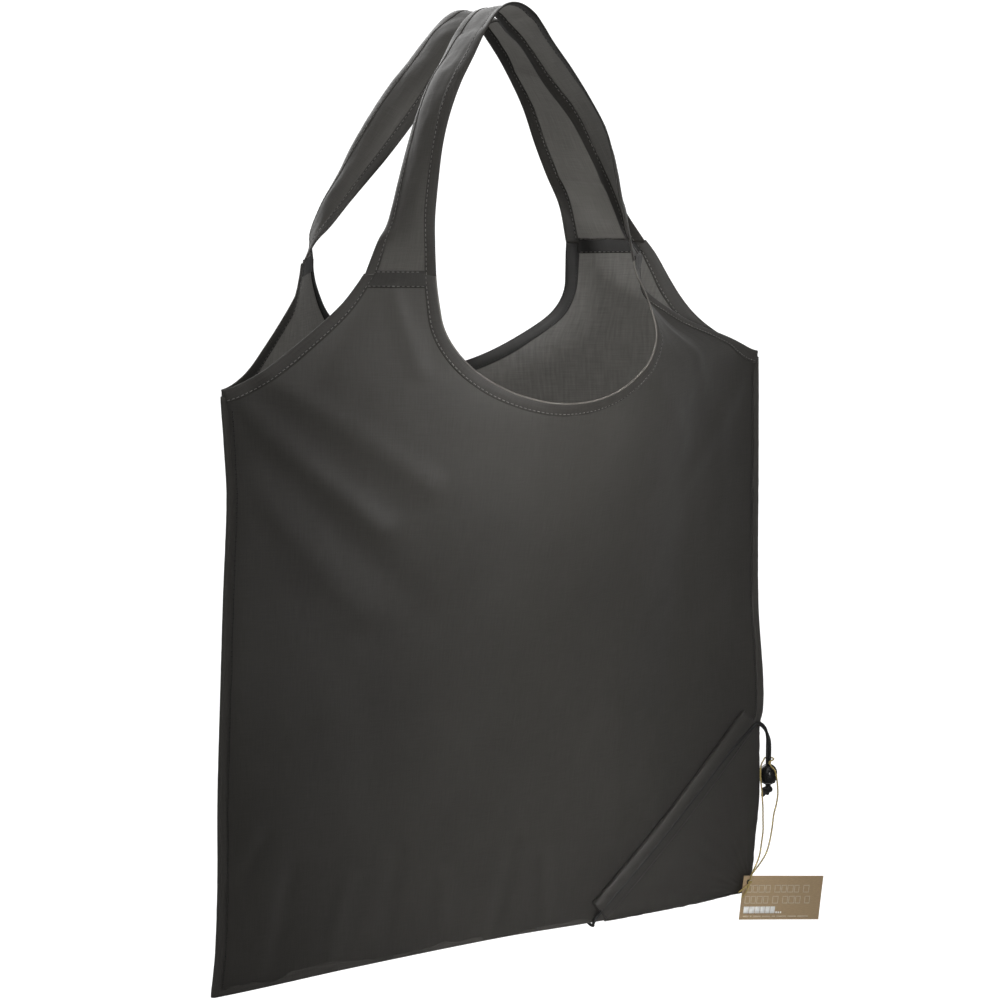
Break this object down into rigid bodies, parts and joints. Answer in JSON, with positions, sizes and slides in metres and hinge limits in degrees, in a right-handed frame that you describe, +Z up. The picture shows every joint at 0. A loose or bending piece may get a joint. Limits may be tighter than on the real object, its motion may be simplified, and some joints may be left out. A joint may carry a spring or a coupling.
{
  "type": "foldable tote bag",
  "caption": "Thin open-mouthed cloth tote bag with two looped strap handles, a corner pouch gathered by a drawcord with a round cord lock, and a hanging paper tag.",
  "frame": {"origin": "the point where the two handles hang, level with their highest points and midway between them", "axes": "+X across the bag towards the pouch, -Y towards the front, +Z up"},
  "size_m": [0.4637, 0.1868, 0.6289],
  "materials": {
    "panel_cloth": "fine plain-weave polyester with a soft sheen",
    "strap_cloth": "single layer of the same cloth, lit through",
    "hem_cloth": "folded and topstitched cloth",
    "pouch_cloth": "fine plain-weave polyester with a soft sheen",
    "cord": "round braided cord",
    "lock_plastic": "glossy black moulding",
    "spring_steel": "bright wire",
    "tag_string": "twisted string",
    "tag_card": null
  },
  "bodies": {
    "bag": {"front_panel": "panel_cloth", "back_panel": "panel_cloth", "left_side_seam": "hem_cloth", "right_side_seam": "hem_cloth", "bottom_seam": "hem_cloth", "front_neck_hem": "hem_cloth", "back_neck_hem": "hem_cloth", "front_armhole_hems": "hem_cloth", "back_armhole_hems": "hem_cloth", "front_join_bands": "hem_cloth", "back_join_bands": "hem_cloth", "pouch_front": "pouch_cloth", "pouch_back": "pouch_cloth", "pouch_edge": "pouch_cloth", "pouch_front_channel": "pouch_cloth", "pouch_back_channel": "pouch_cloth", "drawcord": "cord", "cord_knot": "cord"},
    "front_handle": {"front_handle": "strap_cloth", "front_handle_hems": "hem_cloth"},
    "back_handle": {"back_handle": "strap_cloth", "back_handle_hems": "hem_cloth"},
    "cord_lock": {"cord_lock_body": "lock_plastic", "cord_lock_spring": "spring_steel", "tag_string_loop": "tag_string"},
    "lock_button": {"cord_lock_plunger": "lock_plastic"},
    "tag_string": {"tag_string": "tag_string", "tag_knot": "tag_string"},
    "tag_card": {"tag_card": "tag_card"}
  },
  "joints": [
    {"name": "front_handle_fold", "type": "hinge", "parent": "bag", "child": "front_handle", "pos_m": [0, -0.0618, -0.1588], "axis": [1, 0, 0], "range_deg": [0, 150]},
    {"name": "back_handle_fold", "type": "hinge", "parent": "bag", "child": "back_handle", "pos_m": [0, 0.0618, -0.1588], "axis": [-1, 0, 0], "range_deg": [0, 150]},
    {"name": "cord_lock_slide", "type": "slide", "parent": "bag", "child": "cord_lock", "axis": [0, 0, 1], "range_m": [0, 0.012]},
    {"name": "lock_button_press", "type": "slide", "parent": "cord_lock", "child": "lock_button", "axis": [0, -1, 0], "range_m": [0, 0.001], "stiffness_N_per_m": 400, "springref_m": -0.001, "deforming": ["cord_lock_spring"]},
    {"name": "tag_swing", "type": "hinge", "parent": "cord_lock", "child": "tag_string", "pos_m": [0.2228, -0.0075, -0.54315], "axis": [-0.1736, -0.9848, 0], "range_deg": [0, 40]},
    {"name": "card_turn", "type": "hinge", "parent": "tag_string", "child": "tag_card", "pos_m": [0.197, -0.01, -0.6015], "axis": [0.1736, 0.9848, 0], "range_deg": [-10, 70]}
  ]
}
